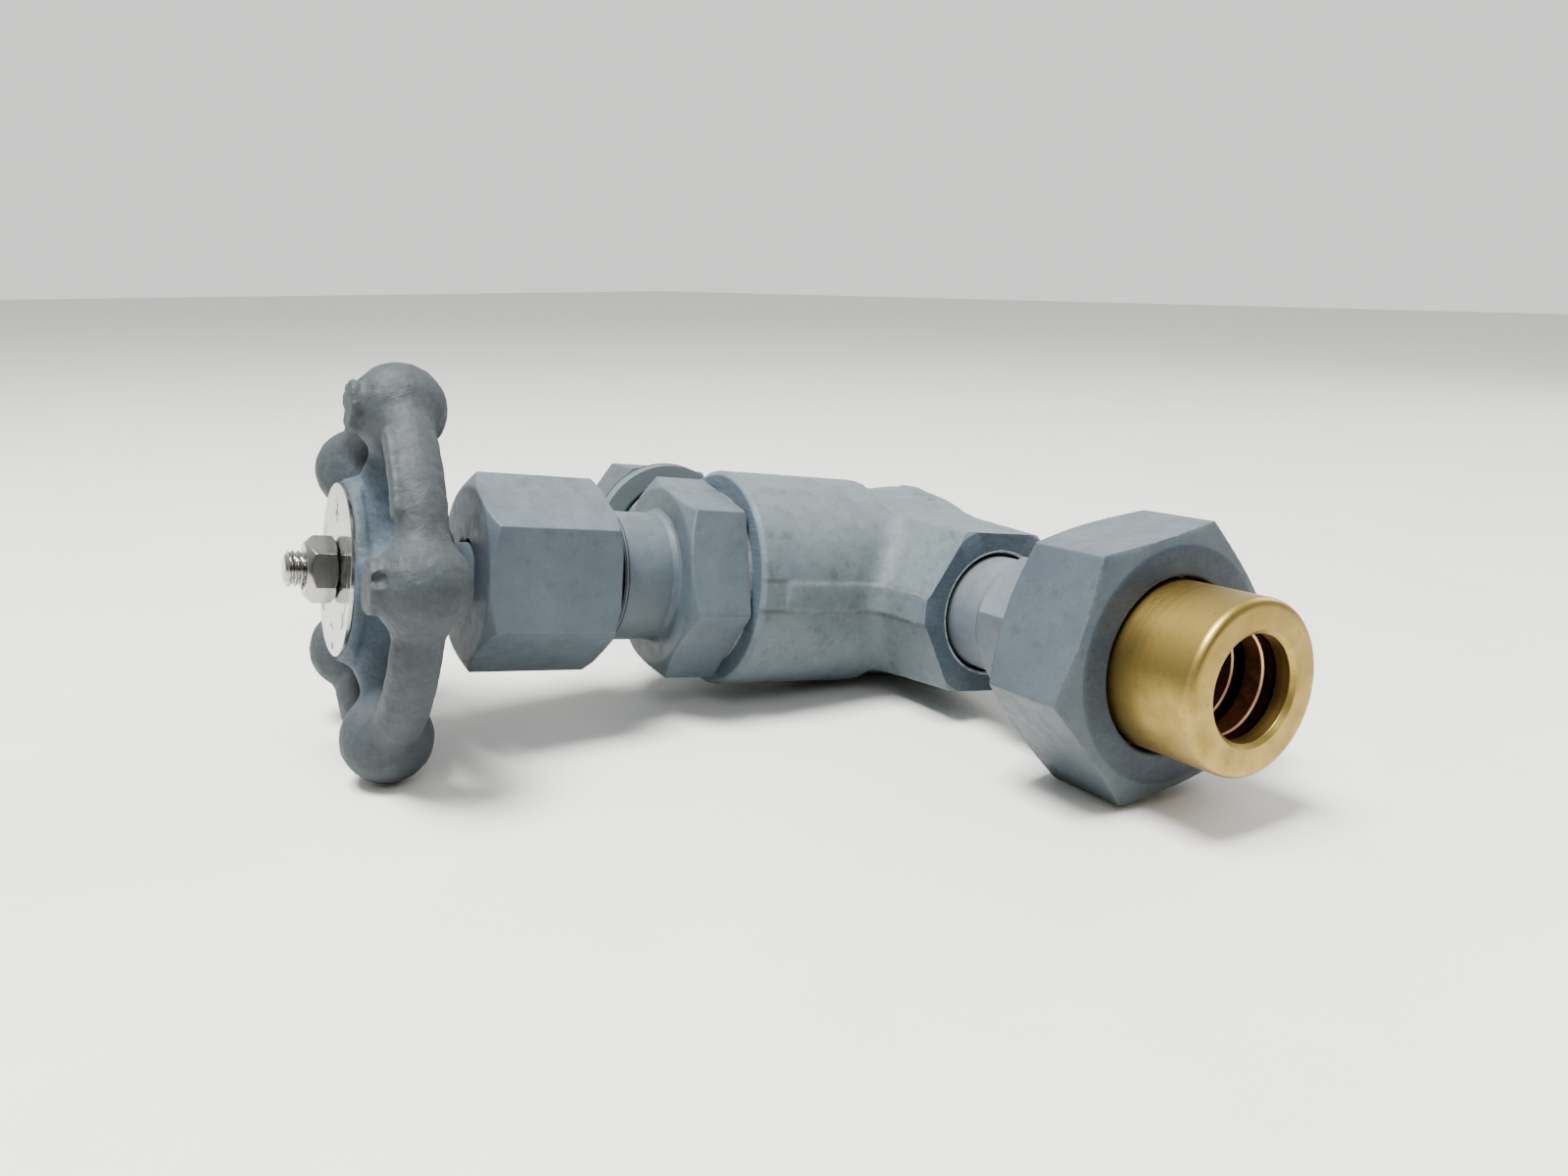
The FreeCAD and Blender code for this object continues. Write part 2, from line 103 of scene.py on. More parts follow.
# Angles within one sixth of a turn, dense beside the corner so that it can be rounded.
SECTOR = [0, 0.5, 1.1, 1.9, 3, 4.6, 7, 11, 16, 22, 30, 38, 44, 49, 53, 55.4, 57, 58.1, 58.9, 59.5]


def hexagon_angles(turn):
    return np.radians([turn + 60 * k + a for k in range(6) for a in SECTOR])


def hexagon_radius(angles, width, turn, softness=0.008):
    """Distance from the axis to a hexagon's side, its corners rounded."""
    across = np.degrees(angles) - turn
    off = np.abs((across % 60) - 30)
    near, far = np.cos(np.radians(off)), np.cos(np.radians(60 - off))
    blend = np.clip(0.5 + 0.5 * (near - far) / softness, 0, 1)
    side = near * blend + far * (1 - blend) + softness * blend * (1 - blend)
    return width / 2 / side


def soft_min(a, b, softness):
    blend = np.clip(0.5 + 0.5 * (b - a) / softness, 0, 1)
    return b * (1 - blend) + a * blend - softness * blend * (1 - blend)


def ring_stack(name, rings, route, angles, sharp_angle=35, closed=True):
    """A solid from rings of points round local Z. Each ring is (z, radius or radii per angle).
    A closed stack joins its last ring to its first; an open one is capped by flat faces."""
    count, turns = len(rings), len(angles)
    cos, sin = np.cos(angles), np.sin(angles)
    points = np.empty((count, turns, 3))
    for k, (z, radius) in enumerate(rings):
        points[k, :, 0] = radius * cos
        points[k, :, 1] = radius * sin
        points[k, :, 2] = z
    index = np.arange(count * turns).reshape(count, turns)
    faces = []
    for k in range(count if closed else count - 1):
        here, above = index[k], index[(k + 1) % count]
        faces.append(np.stack([here, np.roll(here, -1), np.roll(above, -1), above], axis=1))
    faces = [tuple(f) for f in np.concatenate(faces)]
    if not closed:
        faces.append(tuple(reversed(index[0])))
        faces.append(tuple(index[-1]))
    piece = new_piece(name, points.reshape(-1, 3), faces, route, sharp_angle)
    if sharp_angle is not None:
        even = piece.modifiers.new("flat_faces_first", "WEIGHTED_NORMAL")
        even.keep_sharp = True
        bake(piece)
    return piece


def rounded(points, radius=0.3, steps=3):
    """A section's outline of (z, radius) points, each inner corner replaced by a short curve."""
    path = [points[0]]
    for before, here, after in zip(points, points[1:], points[2:]):
        p, q, r = (np.array(v, float) for v in (before, here, after))
        reach = min(radius, np.linalg.norm(p - q) * 0.45, np.linalg.norm(r - q) * 0.45)
        start = q + (p - q) / np.linalg.norm(p - q) * reach
        end = q + (r - q) / np.linalg.norm(r - q) * reach
        for k in range(steps + 1):
            t = k / steps
            path.append(tuple((1 - t) ** 2 * start + 2 * t * (1 - t) * q + t * t * end))
    return path + [points[-1]]


def thread_rings(start, end, radius, pitch, depth, angles, outward=1):
    """Rings of a right-hand screw thread cut into a radius; outward is -1 for a nut's thread."""
    rings = []
    per_turn = 10
    count = int(round((end - start) / pitch * per_turn))
    for k in range(count + 1):
        z = start + (end - start) * k / count
        phase = (z / pitch - angles / TURN) % 1
        ridge = np.clip(np.abs(phase - 0.5) * 2.6 - 0.15, 0, 1)
        fade = min(1, (z - start) / (0.4 * pitch), (end - z) / (0.4 * pitch))
        rings.append((z, radius - outward * depth * ridge * max(fade, 0)))
    return rings


def hexagon_rings(start, end, width, turn, angles, faces, slopes=(1.73, 1.73), softness=0.2):
    """The outside of a hexagon bar whose ends are bevelled to a face radius."""
    sides = hexagon_radius(angles, width, turn)
    corner = width / math.sqrt(3)
    low, high = (max((corner - face + softness) / slope, 0.3) for face, slope in zip(faces, slopes))
    places = [start + low * k / 14 for k in range(15)]
    places += [start + low + (end - high - start - low) * t for t in (0.02, 0.25, 0.5, 0.75, 0.98)]
    places += [end - high + high * k / 14 for k in range(15)]
    rings = []
    for z in places:
        bevel = min(faces[0] + (z - start) * slopes[0], faces[1] + (end - z) * slopes[1])
        rings.append((z, soft_min(np.full_like(sides, bevel), sides, softness)))
    first, last = rings[0][1], rings[-1][1]
    return [(start, first - 0.3), (start + 0.07, first - 0.06)] + rings[1:-1] + [
        (end - 0.07, last - 0.06), (end, last - 0.3)]


# ---------------------------------------------------------------- helpers: cast and forged shapes

def surface_nets(field, low, pitch):
    """Points and quads of the zero surface of a sampled distance field, negative inside."""
    cells = tuple(n - 1 for n in field.shape)
    total = np.zeros(cells + (3,))
    hits = np.zeros(cells)
    crossings = []
    for axis in range(3):
        before = np.take(field, range(field.shape[axis] - 1), axis)
        after = np.take(field, range(1, field.shape[axis]), axis)
        crossed = (before < 0) != (after < 0)
        crossings.append((crossed, before < 0))
        share = np.where(crossed, before / np.where(crossed, before - after, 1), 0)
        u, v = (other for other in range(3) if other != axis)
        for du in (0, 1):
            for dv in (0, 1):
                cut = [slice(None)] * 3
                cut[u] = slice(du, du + cells[u])
                cut[v] = slice(dv, dv + cells[v])
                part = crossed[tuple(cut)]
                hits += part
                total[..., axis] += share[tuple(cut)]
                total[..., u] += part * du
                total[..., v] += part * dv
    used = hits > 0
    index = np.full(cells, -1)
    index[used] = np.arange(used.sum())
    corner = np.stack(np.nonzero(used), axis=1)
    points = np.array(low) + pitch * (corner + total[used] / hits[used][:, None])
    quads = []
    for axis, (crossed, inside) in enumerate(crossings):
        u, v = ((1, 2), (2, 0), (0, 1))[axis]
        edges = np.stack(np.nonzero(crossed), axis=1)
        edges = edges[(edges[:, u] > 0) & (edges[:, v] > 0)
                      & (edges[:, u] < cells[u]) & (edges[:, v] < cells[v])]
        step_u, step_v = np.eye(3, dtype=int)[u], np.eye(3, dtype=int)[v]
        loop = [edges - step_u - step_v, edges - step_v, edges, edges - step_u]
        quad = np.stack([index[tuple(c.T)] for c in loop], axis=1)
        outward = inside[tuple(edges.T)]
        quad[~outward] = quad[~outward][:, ::-1]
        quads.append(quad)
    return points, np.concatenate(quads)


def sampled(field, low, high, pitch):
    """Points and quads of a field given as a function of x, y, z in a box."""
    axes = [np.arange(a, b + pitch, pitch) for a, b in zip(low, high)]
    grid = np.meshgrid(*axes, indexing="ij", sparse=True)
    values = field(*grid)
    return surface_nets(np.broadcast_to(values, tuple(len(a) for a in axes)), low, pitch)


def soft_max(a, b, softness):
    return -soft_min(-a, -b, softness)


def waves(x, y, z, size):
    """Smooth unevenness between -1 and 1, as on a rough casting."""
    k = TURN / size
    return (np.sin(x * k + 1.3 * np.sin(y * k * 0.7)) * np.sin(y * k * 1.1 + 1.7 * np.sin(z * k * 0.6))
            * np.sin(z * k * 0.9 + 1.1 * np.sin(x * k * 0.8)))


def carve(piece, tool):
    """Cut a tool out of a piece, then delete the tool."""
    cutter = piece.modifiers.new("cut", "BOOLEAN")
    cutter.object = tool
    cutter.solver = "EXACT"
    bake(piece)
    bpy.data.objects.remove(tool)


def turned_tool(outline, route, sides=96):
    """A solid of revolution for cutting: the outline's (z, radius) points, from axis to axis."""
    angles = np.linspace(0, TURN, sides, endpoint=False)
    rings = [(z, max(r, 0.02)) for z, r in outline]
    return ring_stack("tool", rings, route, angles, sharp_angle=None, closed=False)


# ---------------------------------------------------------------- helpers: materials

class Surface:
    """A material whose nodes are added one by one."""

    def __init__(self, name, **fixed):
        self.material = bpy.data.materials.new(name)
        self.material.use_nodes = True
        self.tree = self.material.node_tree
        self.shader = self.tree.nodes["Principled BSDF"]
        for socket, value in fixed.items():
            self.shader.inputs[socket.replace("_", " ")].default_value = value
        place = self.tree.nodes.new("ShaderNodeTexCoord").outputs["Object"]
        self.place = self.vector("MULTIPLY", place, (1000, 1000, 1000))

    def node(self, kind, inputs, **settings):
        node = self.tree.nodes.new(kind)
        for key, value in settings.items():
            setattr(node, key, value)
        for key, value in inputs.items():
            if isinstance(value, bpy.types.NodeSocket):
                self.tree.links.new(value, node.inputs[key])
            else:
                node.inputs[key].default_value = value
        return node

    def vector(self, operation, a, b):
        return self.node("ShaderNodeVectorMath", {0: a, 1: b}, operation=operation).outputs[0]

    def maths(self, operation, a, b=0.0):
        return self.node("ShaderNodeMath", {0: a, 1: b}, operation=operation).outputs[0]

    def noise(self, size, detail=3.0, roughness=0.5, place=None):
        """Noise from 0 to 1 whose features are about size millimetres."""
        inputs = {"Vector": place or self.place, "Scale": 1 / size}
        inputs.update({"Detail": detail, "Roughness": roughness})
        return self.node("ShaderNodeTexNoise", inputs).outputs["Fac"]

    def ramp(self, value, low, high, start=0.0, end=1.0):
        """value from low..high to start..end, held at both ends."""
        inputs = {"Value": value, "From Min": low, "From Max": high, "To Min": start, "To Max": end}
        return self.node("ShaderNodeMapRange", inputs).outputs[0]

    def mix(self, share, a, b):
        node = self.tree.nodes.new("ShaderNodeMix")
        node.data_type = "RGBA"
        for socket, value in zip((node.inputs[0], node.inputs[6], node.inputs[7]), (share, a, b)):
            if isinstance(value, bpy.types.NodeSocket):
                self.tree.links.new(value, socket)
            else:
                socket.default_value = value
        return node.outputs[2]

    def bump(self, height, distance, normal=None):
        """A bump whose height of 0 to 1 stands for a distance in millimetres."""
        inputs = {"Height": height, "Distance": distance * MM, "Strength": 1.0}
        if normal:
            inputs["Normal"] = normal
        return self.node("ShaderNodeBump", inputs).outputs[0]

    def set(self, **links):
        for socket, value in links.items():
            self.tree.links.new(value, self.shader.inputs[socket.replace("_", " ")])
        return self.material


def colour(red, green, blue):
    return (red, green, blue, 1.0)


def tinted(base, *factors):
    """A colour whose channels are scaled by three factors, or all by one."""
    return colour(*(c * f for c, f in zip(base, factors if len(factors) == 3 else factors * 3)))


def cast_skin(s, tone, base):
    """The wheel's rough outer skin, over a hub and spokes that are smoother and bluer."""
    off = s.vector("MULTIPLY", s.vector("SUBTRACT", s.place, (0, SPINDLE_Y, 0)), (0, 1, 1))
    from_axis = s.node("ShaderNodeVectorMath", {0: off}, operation="LENGTH").outputs["Value"]
    tone = s.mix(s.ramp(from_axis, 33, 22), tone, tinted(base, 1.7, 2.15, 2.7))
    skin = s.ramp(s.noise(3.2, 6, 0.7), 0.4, 0.62, 0.0, 0.6)
    return s.mix(skin, tone, tinted(base, 1.5, 1.48, 1.38))


def seam_dirt_and_shade(s, tone, dirt_and_shade_tone, z):
    """Dirt and painted shade along both edges of the band that the forging dies leave."""
    from_edge = s.maths("SUBTRACT", s.maths("ABSOLUTE", z), BAND_HALF + 0.2)
    seam_dirt_and_shade_share = s.ramp(s.maths("ABSOLUTE", from_edge), 0.9, 0.2)
    uneven = s.ramp(s.noise(3, 4, 0.7), 0.3, 0.6, 0.15, 0.8)
    return s.mix(s.maths("MULTIPLY", seam_dirt_and_shade_share, uneven), tone, dirt_and_shade_tone)


def dust_and_top_light(s, tone, normal, amount):
    """Pale dust in patches, and painted top light: whatever faces up is made paler."""
    upward = s.node("ShaderNodeSeparateXYZ", {0: normal}).outputs[2]
    patches = s.ramp(s.noise(4, 4, 0.6), 0.3, 0.6, 0.5, 1)
    dust_and_top_light_share = s.maths("MULTIPLY", s.ramp(upward, 0.2, 0.95, 0.0, amount), patches)
    return s.mix(dust_and_top_light_share, tone, colour(0.28, 0.31, 0.32))


def hollow_shade_and_dirt(s, tone, dirt_and_shade_tone):
    """Painted shade with some dirt: corners and narrow gaps are darkened towards a dirt colour by ambient
    occlusion.
    """
    open_sky = s.node("ShaderNodeAmbientOcclusion", {"Distance": 6 * MM}, samples=4).outputs["AO"]
    patches = s.ramp(s.noise(2.5, 4, 0.7), 0.25, 0.6, 0.6, 1)
    hollow_shade_and_dirt_share = s.maths("MULTIPLY", s.ramp(open_sky, 0.66, 0.15), patches)
    return s.mix(s.maths("MULTIPLY", hollow_shade_and_dirt_share, 0.9), tone, dirt_and_shade_tone)


def machined_face(s, tone, base, face):
    """Darker, scored paint on a turned end face."""
    along_cut = s.vector("MULTIPLY", s.place, (1, 0.2, 3))
    scored = s.ramp(s.noise(1.6, 5, 0.8, place=along_cut), 0.45, 0.6)
    bare = s.mix(scored, tinted(base, 0.38, 0.45, 0.56), tinted(base, 0.56, 0.64, 0.74))
    return s.mix(face, tone, bare)


def port_highlight_and_shade(s, tone, base, x, y, z, reach):
    """Painted highlight on the edge of each port's recess in the body, and painted shadow in the recess
    itself.
    """
    off = s.maths("SUBTRACT", x, s.ramp(y, SPINDLE_Y - 1, SPINDLE_Y + 1, 0, REAR_X))
    square = s.maths("ADD", s.maths("MULTIPLY", off, off), s.maths("MULTIPLY", z, z))
    recess = s.ramp(y, SPINDLE_Y - 1, SPINDLE_Y + 1, *RECESSES)
    beyond = s.maths("SUBTRACT", s.maths("SQRT", square), recess)
    # painted highlight: a bright line along the recess edge at the boss face
    edge = s.maths("MULTIPLY", s.ramp(beyond, 0.75, 0.5), s.ramp(s.noise(2, 3, 0.6), 0.35, 0.5, 0.3, 1))
    at_face = s.ramp(reach, BOSS_FACE - 0.45, BOSS_FACE - 0.4)
    tone = s.mix(s.maths("MULTIPLY", edge, at_face), tone, tinted(base, 4.5, 4.0, 3.7))
    # painted shadow: the recess inside the port face is painted near black
    in_port = s.maths("MULTIPLY", s.ramp(beyond, 0.2, 0.1), s.ramp(reach, 36, 40))
    painted_recess_shade = s.maths("MULTIPLY", in_port, s.ramp(at_face, 1, 0))
    return s.mix(painted_recess_shade, tone, tinted(base, 0.08))


def paint(name, base, grain_size, grain_depth, grime=0.5, dust_and_top_light_amount=0.18, rough=(0.42, 0.60), machined=None,
          painted_light_reach=None, painted_shade_bands=(), forged=False, cast=False):
    """Satin blue-grey paint over steel: mottled and specked; dust and painted top light on what faces up,
    dirt and painted shade in its hollows. machined is the reach from which a turned end face shows darker,
    painted_light_reach the reach up to which the paint is made pale as painted light, painted_shade_bands
    the stations between which a part along the spindle is painted black as painted shade."""
    s = Surface(name, Metallic=0.0, IOR=1.45)
    pale = tinted(base, 1.15, 1.13, 1.09)
    deep = tinted(base, 0.78, 0.82, 0.88)
    dirt_and_shade_tone = tinted(base, 0.45, 0.38, 0.30)
    x, y, z = s.node("ShaderNodeSeparateXYZ", {0: s.place}).outputs
    reach = s.maths("ABSOLUTE", s.maths("SUBTRACT", y, SPINDLE_Y))
    shape = s.node("ShaderNodeNewGeometry", {}).outputs
    tone = s.mix(s.ramp(s.noise(11, 6, 0.68), 0.34, 0.66), deep, pale)
    if cast:
        tone = cast_skin(s, tone, base)
    tone = s.mix(s.ramp(s.noise(0.9, 4, 0.7), 0.42, 0.70, 0.0, 0.55), tone, deep)
    stain = s.maths("MULTIPLY", s.ramp(s.noise(5, 6, 0.75), 0.53, 0.72), grime)
    tone = s.mix(stain, tone, dirt_and_shade_tone)
    worn = s.ramp(shape["Pointiness"], 0.52, 0.57, 0.0, 0.25)
    tone = s.mix(worn, tone, tinted(base, 1.8, 1.7, 1.6))
    if forged:
        # dirt and painted shade along the edges of the flash band
        tone = seam_dirt_and_shade(s, tone, dirt_and_shade_tone, z)
    # dust and painted top light: upward faces are made paler
    tone = dust_and_top_light(s, tone, shape["Normal"], dust_and_top_light_amount)
    # painted shade with some dirt: corners and narrow gaps are darkened
    tone = hollow_shade_and_dirt(s, tone, dirt_and_shade_tone)
    # painted light: up to the given reach the paint is made pale, lifting the shade on the rear union nut's
    # shoulder
    if painted_light_reach:
        tone = s.mix(s.ramp(reach, painted_light_reach + 0.1, painted_light_reach), tone, tinted(base, 1.75, 1.7, 1.6))
    if machined:
        face = s.ramp(reach, machined - 0.2, machined - 0.1)
        if forged:
            face = s.maths("MAXIMUM", face, s.ramp(x, 0.3 - BARREL_END, 0.1 - BARREL_END))
        tone = machined_face(s, tone, base, face)
    if forged:
        # painted highlight on each port recess's edge, painted shadow in the recess
        tone = port_highlight_and_shade(s, tone, base, x, y, z, reach)
    # painted shade: each given band of stations is painted near black, for the shade in the neck's grooves
    # and in the gap under the gland nut
    for low, high in painted_shade_bands:
        half = (high - low) / 2
        band = s.ramp(s.maths("ABSOLUTE", s.maths("ADD", x, low + half)), half, half - 0.08)
        tone = s.mix(band, tone, tinted(base, 0.08))
    fine = s.bump(s.noise(0.5, 3, 0.65), 0.04)
    coarse = s.bump(s.noise(grain_size, 4, 0.62), grain_depth, fine)
    roughness = s.ramp(s.noise(3, 4, 0.6), 0.3, 0.7, *rough)
    return s.set(Base_Color=tone, Roughness=roughness, Normal=coarse)


def socket_tone_and_painted_light(s, tone, roughness, radius, reach, wall, mouth, deep):
    """Inside a tube socket: brown past the first groove; the grooves near black as painted shadow, their
    edges bright as painted highlight.
    """
    inside = s.ramp(radius, wall + deep + 0.3, wall + deep + 0.2)
    past = s.maths("MULTIPLY", inside, s.ramp(reach, mouth - 4.2, mouth - 4.8))
    brown = s.mix(s.ramp(s.noise(3, 5, 0.7), 0.35, 0.65), colour(*BORE_BROWN), tinted(BORE_BROWN, 0.5))
    tone = s.mix(past, tone, brown)
    beyond_mouth = s.maths("MULTIPLY", inside, s.ramp(reach, mouth - 1.5, mouth - 2.5))
    # painted highlight: the grooves' edges are made bright
    edge = s.maths("MULTIPLY", s.ramp(radius, wall + 0.02, wall + 0.06), beyond_mouth)
    tone = s.mix(edge, tone, colour(0.90, 0.56, 0.28))
    # painted shadow: deeper in the grooves the colour is near black
    groove = s.maths("MULTIPLY", s.ramp(radius, wall + 0.42, wall + 0.50), beyond_mouth)
    tone = s.mix(groove, tone, colour(0.012, 0.008, 0.006))
    return tone, s.maths("ADD", roughness, s.maths("MULTIPLY", past, 0.12))


def turned_metal(name, base, tint, rough, route, lines=0.35, pits=0.0, socket=None, overspray=None):
    """Metal cut on a lathe: fine rings round its axis, and dark pits where asked.
    socket is a tube socket's (wall radius, reach of its mouth, depth of its grooves), overspray the
    station up to which a spindle has caught the valve's paint."""
    s = Surface(name, Metallic=1.0)
    axis_point = Vector((REAR_X if route == "rear" else 0, SPINDLE_Y, 0))
    local = s.vector("SUBTRACT", s.place, axis_point)
    x, y, z = s.node("ShaderNodeSeparateXYZ", {0: local}).outputs
    along, across = (x, y) if route == "spindle" else (y, x)
    square = s.maths("ADD", s.maths("MULTIPLY", across, across), s.maths("MULTIPLY", z, z))
    radius = s.maths("SQRT", square)
    track = s.node("ShaderNodeCombineXYZ", {0: radius, 1: along}).outputs[0]
    rings = s.noise(lines, 3, 0.7, place=track)
    clouds = s.noise(7, 5, 0.6)
    tone = s.mix(s.ramp(clouds, 0.3, 0.7), colour(*base), colour(*tint))
    tone = s.mix(s.ramp(rings, 0.35, 0.65, 0.0, 0.22), tone, tinted(base, 0.6))
    uneven = s.maths("MULTIPLY", s.maths("ADD", rings, clouds), 0.5)
    roughness = s.ramp(uneven, 0.35, 0.65, rough * 0.8, rough * 1.25)
    if pits:
        spots = s.maths("MULTIPLY", s.ramp(s.noise(1.5, 5, 0.75), 0.61, 0.70), pits)
        tone = s.mix(spots, tone, tinted(base, 0.22))
    if socket:
        tone, roughness = socket_tone_and_painted_light(s, tone, roughness, radius, s.maths("ABSOLUTE", along), *socket)
    if overspray:
        sprayed = s.ramp(along, -overspray - 0.1, -overspray)
        tone = s.mix(sprayed, tone, colour(0.14, 0.185, 0.23))
        roughness = s.maths("ADD", roughness, s.maths("MULTIPLY", sprayed, 0.25))
        s.set(Metallic=s.ramp(sprayed, 0, 1, 1, 0))
    return s.set(Base_Color=tone, Roughness=roughness, Normal=s.bump(rings, 0.008))


def plate_metal(name):
    """Thin polished sheet with faint scratches; its dark engraving, and the painted shade in its dent, are
    an attribute of the mesh.
    """
    s = Surface(name, Metallic=1.0)
    clouds = s.noise(5, 4, 0.6)
    tone = s.mix(s.ramp(clouds, 0.3, 0.7), colour(0.46, 0.46, 0.435), colour(0.31, 0.32, 0.31))
    cut = s.node("ShaderNodeAttribute", {}, attribute_name="engraving_and_dent_shade").outputs["Fac"]
    tone = s.mix(cut, tone, colour(0.02, 0.022, 0.025))
    stretched = s.vector("MULTIPLY", s.place, (1.0, 7.0, 0.5))
    scratches = s.noise(0.8, 3, 0.7, place=stretched)
    rough = s.ramp(scratches, 0.4, 0.7, 0.12, 0.3)
    return s.set(Base_Color=tone, Roughness=rough, Normal=s.bump(scratches, 0.006))


def dull(name, base, rough, size=1.0, metallic=0.0, depth=0.03):
    """Rubber, graphite or a gasket: one dull tone, uneven in value and surface."""
    s = Surface(name, Metallic=metallic)
    grain = s.noise(size, 4, 0.6)
    tone = s.mix(s.ramp(grain, 0.3, 0.7), tinted(base, 0.7), tinted(base, 1.25))
    roughness = s.ramp(grain, 0.3, 0.7, rough * 0.85, rough)
    return s.set(Base_Color=tone, Roughness=roughness, Normal=s.bump(grain, depth))


# ---------------------------------------------------------------- the materials

# sizes that a finish and a shape share
BAND_HALF = 3.6                    # half the height of the forging's flash band
BOSS_FACE = SPINDLE_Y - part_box("valve_body")[0].y / MM
BARREL_END = -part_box("valve_body")[0].x / MM
BARREL_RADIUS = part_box("valve_body")[1].z / MM
RECESSES = (15.2, 13.4)            # radius of the recess round the front and the rear port
FRONT_NUT_FACE = 105.6
REAR_NUT_FACE = 101.3
REAR_NUT_HEX_START = 82.5
NECK_RINGS = ((85.55, 85.85), (86.25, 86.55))
NECK_THREAD = (86.7, 106.5)
SQUARE_START = 126.0

PAINT = (0.057, 0.077, 0.091)
NUT_PAINT = (0.054, 0.071, 0.083)
BRASS = (0.42, 0.30, 0.085)
TARNISH = (0.27, 0.185, 0.050)
BORE_BROWN = (0.48, 0.22, 0.10)
STEEL = (0.41, 0.40, 0.38)
DULL_STEEL = (0.27, 0.27, 0.26)

body_paint = paint("body_paint", PAINT, 1.6, 0.08)
# the neck's rings and the gap under the gland nut get painted shade
bonnet_paint = paint("bonnet_paint", PAINT, 1.6, 0.08, painted_shade_bands=NECK_RINGS + (NECK_THREAD,))
front_nut_paint = paint("front_nut_paint", NUT_PAINT, 1.6, 0.08, grime=0.6, machined=FRONT_NUT_FACE)
# the rear nut's shoulder gets painted light
rear_nut_paint = paint("rear_nut_paint", NUT_PAINT, 1.6, 0.08, grime=0.6, machined=REAR_NUT_FACE,
                       painted_light_reach=REAR_NUT_HEX_START)
forged_paint = paint("forged_paint", (0.084, 0.110, 0.122), 1.1, 0.14, grime=0.8, rough=(0.55, 0.70),
                     machined=BOSS_FACE, forged=True)
cast_paint = paint("cast_paint", (0.026, 0.034, 0.039), 1.9, 0.34, grime=0.6, dust_and_top_light_amount=0.03,
                   rough=(0.58, 0.76), cast=True)
thin_paint = paint("thin_paint", (0.092, 0.113, 0.127), 1.4, 0.05, grime=0.3)
steel = turned_metal("stainless", STEEL, DULL_STEEL, 0.2, "spindle", 0.3)
stem_steel = turned_metal("stainless_stem", STEEL, DULL_STEEL, 0.2, "spindle", 0.3,
                          overspray=SQUARE_START - 0.1)
plate_finish = plate_metal("plate_finish")
copper = dull("braze_alloy", (0.16, 0.07, 0.04), 0.35, 1.5, metallic=1.0, depth=0.01)
rubber = dull("seal_rubber", (0.02, 0.02, 0.022), 0.7, 0.8)
graphite = dull("graphite", (0.03, 0.03, 0.032), 0.55, 0.6, metallic=0.3)
gasket_metal = dull("gasket_metal", (0.33, 0.34, 0.35), 0.45, 1.2, metallic=0.8)


# ---------------------------------------------------------------- valve body

BAND_PROUD = 0.7
BAND_START = 50                    # the flash band stops short of the barrel's end
BOSS_HALF_WIDTH = 20.0
BOSS_CORNER_FLAT = 20.9            # the bosses' side corners are flat at this distance
BOSS_DRAFT = 0.05
WAIST_RADIUS = 25.4
BALL_RADIUS = 26.8
BALL_X = 2.8
ARROW_PROUD = 0.5


def hexagon_boss(across, z, out):
    """A flat-topped hexagon bar that widens a little towards the middle of the body."""
    side = np.abs(across) * math.cos(math.radians(30)) + np.abs(z) * 0.5
    draft = BOSS_DRAFT * np.clip(BOSS_FACE - out, 0, 30)
    bar = soft_max(np.abs(z) + 0 * across, side, 0.9) - BOSS_HALF_WIDTH - draft
    bar = np.maximum(bar, np.abs(across) - BOSS_CORNER_FLAT - draft)
    return np.maximum(np.maximum(bar, -out), out - BOSS_FACE - 1)


def forging(x, y, z):
    """Barrel, ball end and two port bosses, blended, with the flash line left by the dies at z = 0."""
    from_axis = np.sqrt(y * y + z * z)
    barrel = np.maximum(np.maximum(from_axis - BARREL_RADIUS, x + 15.5), -x - BARREL_END - 1)
    core = np.maximum(np.maximum(from_axis - WAIST_RADIUS, -x - 20), x - 3)
    ball = np.sqrt((x - BALL_X) ** 2 + y * y + z * z) - BALL_RADIUS
    body = soft_min(soft_min(barrel, core, 2.0), ball, 2.5)
    body = soft_min(body, hexagon_boss(x, z, -y), 5)
    body = soft_min(body, hexagon_boss(x - REAR_X, z, y), 5)
    body = body + 0.10 * waves(x, y, z, 9)
    flash = np.maximum(body - BAND_PROUD, np.abs(z) - BAND_HALF)
    flash = soft_max(flash, -x - BAND_START, 2.5)
    arrow = np.maximum(body - ARROW_PROUD, flow_arrow(x - 3, y + 3))
    return np.minimum(np.minimum(body, flash), np.maximum(arrow, 15 - z))


def flow_arrow(x, y):
    """Outline of a plain raised arrow on top of the ball end, pointing along the flow."""
    shaft = np.maximum(np.abs(x) - 1.5, np.abs(y + 4) - 5)
    head = np.maximum(np.abs(x) * 0.8 + (y - 6) * 0.6, 0 - y)
    return np.minimum(shaft, head)


def port_tool(side, bore, thread, recess):
    """What machining takes off a boss: its face and bevel, the recess, the thread and the bore."""
    bevel, floor = 21.6, 43.7
    return turned_tool([
        (-2, 0), (-2, bore), (30, bore), (30.8, thread), (floor, thread), (floor, recess),
        (BOSS_FACE - 0.4, recess), (BOSS_FACE, recess + 0.4), (BOSS_FACE, bevel),
        (BOSS_FACE - 4.5, bevel + 6.5), (BOSS_FACE - 4.5, 40), (BOSS_FACE + 6, 40), (BOSS_FACE + 6, 0),
    ], side)


